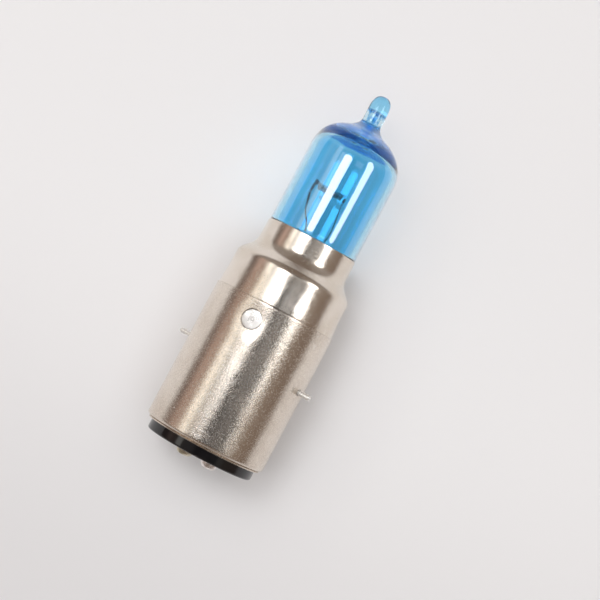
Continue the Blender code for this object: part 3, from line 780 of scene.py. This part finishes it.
def lean(obj):
    """Ease the dome and tip a little off the axis, where the exhaust tube was melted off."""
    for vertex in obj.data.vertices:
        t = (vertex.co.x - DOME_START_X) / (TIP_OFFSET_END_X - DOME_START_X)
        t = min(max(t, 0.0), 1.0)
        vertex.co.y += TIP_OFFSET_Y * t * t * (3 - 2 * t)
    return obj


def tip_warp(x, r, angle):
    """The melted tip is slightly lumpy and waisted."""
    scale, swelling = 420.0, 0.035
    start = DOME_START_X + DOME_HEIGHT
    t = min(max((x - start) / TIP_MELT_LENGTH, 0.0), 1.0)
    lump = noise.noise(Vector((x * scale, math.sin(angle), math.cos(angle))))
    return x, r * (1.0 + t * swelling * (lump - 0.4))


def glass_outline():
    """Foot and shank inside the base, step at the collar, tube, dome and exhaust tip."""
    edge = GLASS_RADIUS - GLASS_SHANK_RADIUS
    step = arc(GLASS_STEP_X + edge, GLASS_SHANK_RADIUS, edge, 180, 90, 8)
    crown = dome(DOME_START_X, GLASS_RADIUS, DOME_HEIGHT, DOME_FULLNESS, DOME_END_ANGLE)
    straight = (TIP_STRAIGHT_X, TIP_RADIUS)
    fillet = bend(crown[-1], (TIP_FILLET_X, TIP_RADIUS), straight)
    tip = dome(TIP_CROWN_X, TIP_RADIUS, GLASS_END_X - TIP_CROWN_X, TIP_CROWN_FULLNESS, 0.0, 24)
    return [
        (GLASS_FOOT[0], 0.0), GLASS_FOOT, GLASS_HAUNCH, (GLASS_SHANK_X, GLASS_SHANK_RADIUS),
        (GLASS_STEP_X, GLASS_SHANK_RADIUS), *step[1:], *crown, *fillet, straight, *tip[:-1],
        (tip[-1][0], 0.0)]


def cavity_outline():
    """A bore under a flat crown, a closed-up throat, and the end of the exhaust tube."""
    bore = GLASS_RADIUS - GLASS_WALL
    crown = dome(CAVITY_DOME_X, bore, CAVITY_DOME_HEIGHT, CAVITY_DOME_FULLNESS, 0.0)
    crown = [point for point in crown if point[1] > CAVITY_DOME_END_RADIUS]
    throat = [(x, THROAT_RADIUS) for x in THROAT_X]
    neck = bend(crown[-1], (THROAT_CORNER_X, THROAT_RADIUS), throat[0])
    flare = bend(throat[1], (CHANNEL_X[0], THROAT_RADIUS), (CHANNEL_X[1], CHANNEL_RADIUS))
    end = dome(CHANNEL_CROWN_X, CHANNEL_RADIUS, CHANNEL_CROWN_HEIGHT, 4.0, 0.0, 10)
    return [
        (CAVITY_FLOOR[0], 0.0), CAVITY_FLOOR, (CAVITY_HAUNCH_X, bore), *crown, *neck, *throat,
        *flare, *end[:-1], (end[-1][0], 0.0)]


def make_glass(material):
    glass = lean(turned("glass_bulb", refined(glass_outline(), 0.6 * MM), 192, tip_warp))
    combine(glass, squashed_pinch(), "UNION")
    combine(glass, lean(turned("cavity", refined(cavity_outline(), 0.6 * MM), 192)))
    for y in (-LEAD_SPACING, 0.0, LEAD_SPACING):
        hole = rod("hole", *LEAD_HOLE_X, LEAD_HOLE_RADIUS, 32)
        combine(glass, aim(hole, (0, y, 0), (1, 0, 0)))
    show(glass, material, "blue_glass", "glass_envelope")
    # The renderer would give clear glass a shadow as dark as metal's.
    glass.visible_shadow = False


def squashed_pinch():
    """The flat pinch at the glass's foot: a four-sided rod of radius 1, scaled to its size."""
    pinch = rod("pinch", *PINCH_X, 1.0, 4)
    turn = Matrix.Rotation(math.radians(45), 4, "X")
    side = math.sqrt(2)
    scale = Matrix.Diagonal((1.0, PINCH_WIDTH / side, PINCH_THICKNESS / side, 1.0))
    pinch.data.transform(scale @ turn)
    return pinch


def side_lead_route(pinch_y, z):
    """Straight through the pinch, across to the left, and bowed out to the filament's leg."""
    straight = [(x, pinch_y, 0.0) for x in LEAD_STRAIGHT_X]
    bowed = [
        (36.5 * MM, 1.3 * MM, 0.8 * z), (39.3 * MM, 2.1 * MM, z), (41.1 * MM, 3.2 * MM, z),
        (43.2 * MM, 3.74 * MM, z), (44.5 * MM, 3.9 * MM, z), (45.6 * MM, 3.74 * MM, z)]
    return smooth_route(straight + bowed, LEAD_STEPS)


def shared_lead_route():
    """Straight through the pinch, and up to the middle of the bridge wire."""
    z = sum(BEAMS.values()) / 2
    straight = [(x, -LEAD_SPACING, 0.0) for x in LEAD_STRAIGHT_X]
    rising = [(36.0 * MM, -1.4 * MM, z), (39.5 * MM, -1.95 * MM, z),
              (BRIDGE_X - 0.2 * MM, COMMON_Y, z)]
    return smooth_route(straight + rising, LEAD_STEPS)


def coil_route(z):
    """Leg, tight helix about a line parallel to Y, and leg."""
    left, right = COIL_Y
    steps = COIL_TURNS * COIL_STEPS_PER_TURN
    route = [Vector((FILAMENT_X + COIL_RADIUS, left + COIL_LEG, z))]
    for i in range(steps + 1):
        turn = 2 * math.pi * i / COIL_STEPS_PER_TURN
        y = left + (right - left) * i / steps
        middle_x = FILAMENT_X - COIL_SAG * math.sin(math.pi * i / steps)
        spot = (middle_x + COIL_RADIUS * math.cos(turn), y, z + COIL_RADIUS * math.sin(turn))
        route.append(Vector(spot))
    route.append(Vector((FILAMENT_X + COIL_RADIUS, right - COIL_LEG, z)))
    return route


def make_wires(molybdenum, tungsten):
    for beam, z in BEAMS.items():
        pinch_y = LEAD_SPACING if beam == "high_beam" else 0.0
        lead = wire(f"side_lead_{beam}", side_lead_route(pinch_y, z), LEAD_RADIUS)
        show(lead, molybdenum, "lead_wire", f"lead_{beam}")
        coil = wire(f"coil_{beam}", coil_route(z), COIL_WIRE_RADIUS, 2)
        show(coil, tungsten, "tungsten", f"filament_{beam}")
        for side, (x, y) in HOOKS.items():
            hook = hooked_end(f"hook_{beam}_{side}", (x, y, z))
            show(hook, molybdenum, "lead_wire", f"clamp_{beam}_{side}")
    shared = wire("shared_lead", shared_lead_route(), 0.8 * LEAD_RADIUS)
    show(shared, molybdenum, "lead_wire", "lead_common")
    low, high = min(BEAMS.values()) - LEAD_RADIUS, max(BEAMS.values()) + LEAD_RADIUS
    route = [(BRIDGE_X, COMMON_Y, low + (high - low) * i / 8) for i in range(9)]
    bridge = wire("cross_bridge", route, LEAD_RADIUS)
    show(bridge, molybdenum, "lead_wire", "common_bridge")


def hooked_end(name, spot):
    """The crimped end of a lead, folded over the filament's leg."""
    half, radius, crown = 0.25 * MM, 0.22 * MM, 0.1 * MM
    notch, notch_depth = 0.04 * MM, 0.05 * MM
    outline = [
        (-half, 0.0), *arc(-half + crown, radius - crown, crown, 180, 90, 6),
        (-notch, radius), (0.0, radius - notch_depth), (notch, radius),
        *arc(half - crown, radius - crown, crown, 90, 0, 6), (half, 0.0)]
    return aim(turned(name, outline, 32), spot, (1, 0, 0))


def dress_hidden(copper, solder, filler):
    """CAD nodes inside the base keep their shape and get detailed materials."""
    looks = {"tail_high_beam": copper, "tail_low_beam": copper, "tail_earth": copper,
             "earth_solder": solder, "capping_cement": filler}
    for node, material in looks.items():
        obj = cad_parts[node]
        obj.data.materials.clear()
        obj.data.materials.append(material)


# ---- studio ----------------------------------------------------------------------------------

def make_floor():
    middle = (FLOOR_MIDDLE_X, 0.0, -SLEEVE_RADIUS)
    bpy.ops.mesh.primitive_plane_add(size=FLOOR_SIZE, location=middle)
    floor = bpy.context.object
    floor.name = "floor"
    floor.data.materials.append(pale_floor())


def softbox(name, angle, distance, width, x_range, radiance, shape="RECTANGLE"):
    """A softbox that faces the bulb's axis, at an angle in degrees from +Z towards +Y.

    Its energy is worked out so that its face has the given radiance.
    """
    light = bpy.data.lights.new(name, "AREA")
    light.shape = shape
    light.size = x_range[1] - x_range[0]
    light.size_y = width
    area = light.size * width * (math.pi / 4 if shape == "ELLIPSE" else 1.0)
    light.energy = radiance * math.pi * area
    light.color = LIGHT_COLOUR
    obj = bpy.data.objects.new(name, light)
    bpy.context.scene.collection.objects.link(obj)
    outward = around(math.radians(angle))
    obj.location = distance * outward + Vector((sum(x_range) / 2, 0.0, 0.0))
    facing = Matrix((Vector((1, 0, 0)), outward.cross(Vector((1, 0, 0))), outward)).transposed()
    obj.rotation_euler = facing.to_euler()
    return obj


def make_world(bands, ends):
    """A studio sky: bands round the bulb's axis, and towards its ends two plain colours."""
    world = bpy.data.worlds.new("studio")
    bpy.context.scene.world = world
    world.use_nodes = True
    tree = world.node_tree
    direction = add(tree, "TexCoord").outputs["Generated"]
    axes = add(tree, "SeparateXYZ", {"Vector": direction}).outputs
    turn = maths(tree, "ARCTAN2", axes["Y"], axes["Z"])
    share = maths(tree, "ADD", maths(tree, "DIVIDE", turn, 2 * math.pi), 0.5)
    ramp = add(tree, "ValToRGB", {"Fac": share})
    stops = ramp.color_ramp.elements
    while len(stops) > 1:
        stops.remove(stops[-1])
    for index, (angle, colour) in enumerate(bands):
        spot = angle / 360.0 + 0.5
        stop = stops[0] if index == 0 else stops.new(spot)
        stop.position = spot
        stop.color = (*colour, 1.0)
    lengthwise = between(tree, maths(tree, "ABSOLUTE", axes["X"]), 0.30, 0.55)
    sideways = between(tree, maths(tree, "ABSOLUTE", axes["Y"]), 0.22, 0.42)
    beyond = blend(tree, sideways, *ends)
    mixed = blend(tree, lengthwise, ramp.outputs["Color"], beyond)
    tree.links.new(mixed, tree.nodes["Background"].inputs["Color"])


def make_camera():
    """A camera almost straight above the bulb, turned so that the bulb leans in the picture."""
    camera = bpy.data.objects.new("camera", bpy.data.cameras.new("camera"))
    bpy.context.scene.collection.objects.link(camera)
    camera.data.lens = CAMERA_LENS
    camera.data.clip_start = 0.01
    forward = Vector((math.sin(CAMERA_TILT), 0.0, -1.0)).normalized()
    picture_up = Vector((math.cos(CAMERA_ROLL), math.sin(CAMERA_ROLL), 0.0))
    right = forward.cross(picture_up).normalized()
    up = right.cross(forward)
    axes = Matrix((right, up, -forward)).transposed()
    camera.matrix_world = Matrix.Translation(CAMERA_PLACE) @ axes.to_4x4()
    bpy.context.scene.camera = camera


# Colours of the sky at angles round the bulb's axis, which its metal mirrors as long stripes.
BANDS = [
    (-180, (0.60, 0.58, 0.56)), (-100, (0.60, 0.58, 0.56)), (-93, (0.21, 0.16, 0.13)),
    (-75, (0.23, 0.175, 0.14)), (-55, (0.28, 0.225, 0.185)), (-48, (0.40, 0.365, 0.33)),
    (-43, (0.40, 0.365, 0.33)), (-37, (0.15, 0.145, 0.14)), (-20, (0.11, 0.10, 0.098)),
    (0, (0.075, 0.072, 0.072)), (7, (0.09, 0.085, 0.085)), (17, (0.27, 0.25, 0.245)),
    (34, (0.30, 0.27, 0.245)), (38, (0.36, 0.33, 0.29)), (41, (1.55, 1.50, 1.40)),
    (49, (1.55, 1.50, 1.40)), (54, (0.38, 0.30, 0.25)), (62, (0.38, 0.27, 0.23)),
    (68, (0.60, 0.44, 0.37)), (74, (0.38, 0.28, 0.24)), (80, (0.17, 0.13, 0.115)),
    (98, (0.17, 0.13, 0.115)), (104, (0.60, 0.58, 0.56)), (180, (0.60, 0.58, 0.56))]
SKY_ENDS = ((0.21, 0.17, 0.145), (0.30, 0.26, 0.235))


def make_lights():
    """Two keys that streak the glass, dimmer glows that the metal mirrors, and a fill."""
    softbox("key_left", angle=16.5, distance=0.60, width=0.22, x_range=(0.055, 0.21),
            radiance=6.0, shape="ELLIPSE")
    softbox("glow_left", angle=23.0, distance=0.80, width=0.36, x_range=(0.02, 0.26),
            radiance=1.1)
    # These show in gloss and glass, and leave the floor alone.
    mirrored_only = [
        softbox("key_right", angle=-41.5, distance=0.60, width=0.20, x_range=(0.045, 0.37),
                radiance=5.2, shape="ELLIPSE"),
        softbox("glow_neck", angle=-15.0, distance=0.80, width=0.28, x_range=(0.05, 0.09),
                radiance=0.85),
        softbox("glow_cap", angle=-15.0, distance=0.80, width=0.26, x_range=(0.15, 0.24),
                radiance=0.60)]
    for light in mirrored_only:
        light.visible_diffuse = False
    fill = softbox("fill_above", angle=1.0, distance=0.90, width=1.20, x_range=(-0.50, 0.60),
                   radiance=1.62)
    fill.visible_glossy = False
    fill.visible_transmission = False


def main():
    nickel_sleeve = nickel("nickel_sleeve", (0.83, 0.755, 0.665), (0.75, 0.665, 0.575),
                           base_roughness=0.18, grain_depth=0.016 * MM, wear_and_glints=1.0)
    nickel_neck = nickel("nickel_neck", (0.84, 0.77, 0.69), (0.76, 0.68, 0.585),
                         base_roughness=0.18, grain_depth=0.006 * MM, wear_and_glints=0.3)
    solder = metal("solder", (0.93, 0.91, 0.89), (0.76, 0.74, 0.72),
                   roughness=0.26, scale=900.0, depth=0.02 * MM)
    # One solder in two copies: the low-beam bead has a pinkish highlight painted into its colour,
    # the high-beam bead is coloured darker and olive.
    highlight_solder = metal("contact_painted_highlight", (0.93, 0.88, 0.86), (0.80, 0.72, 0.68),
                          roughness=0.34, scale=900.0, depth=0.02 * MM)
    olive_solder = metal("contact_olive", (0.70, 0.64, 0.52), (0.34, 0.30, 0.20),
                        roughness=0.36, scale=900.0, depth=0.03 * MM)
    # Plated pins, partly real plating and partly painted highlight: coloured whiter than the
    # sleeve's nickel and less metallic, so that they show bright.
    whitened_pin_metal = metal("pin_plate_whitened", (0.97, 0.96, 0.94), (0.86, 0.84, 0.80),
                      roughness=0.24, scale=1400.0, depth=0.01 * MM, metallic=0.62)
    brass = metal("brass_contact", (0.78, 0.62, 0.34), (0.55, 0.42, 0.22),
                  roughness=0.28, scale=1200.0, depth=0.01 * MM)
    copper = drawn_wire("tail_wire", (0.74, 0.50, 0.34), (0.52, 0.32, 0.22), roughness=0.35)
    molybdenum = drawn_wire("lead_wire", (0.34, 0.34, 0.36), (0.10, 0.10, 0.11), roughness=0.38)
    tungsten = drawn_wire("tungsten", (0.66, 0.66, 0.68), (0.32, 0.32, 0.34), roughness=0.30)
    make_sleeve(nickel_sleeve)
    make_pins(whitened_pin_metal)
    make_tacks(solder)
    make_cap(nickel_neck)
    make_insulator(black_vitrite())
    make_contacts(brass, {"low_beam": highlight_solder, "high_beam": olive_solder})
    make_glass(blue_glass())
    make_wires(molybdenum, tungsten)
    dress_hidden(copper, solder, cement())
    make_floor()
    make_world(BANDS, SKY_ENDS)
    make_lights()
    make_camera()
    bpy.context.scene.view_settings.view_transform = "Standard"


main()
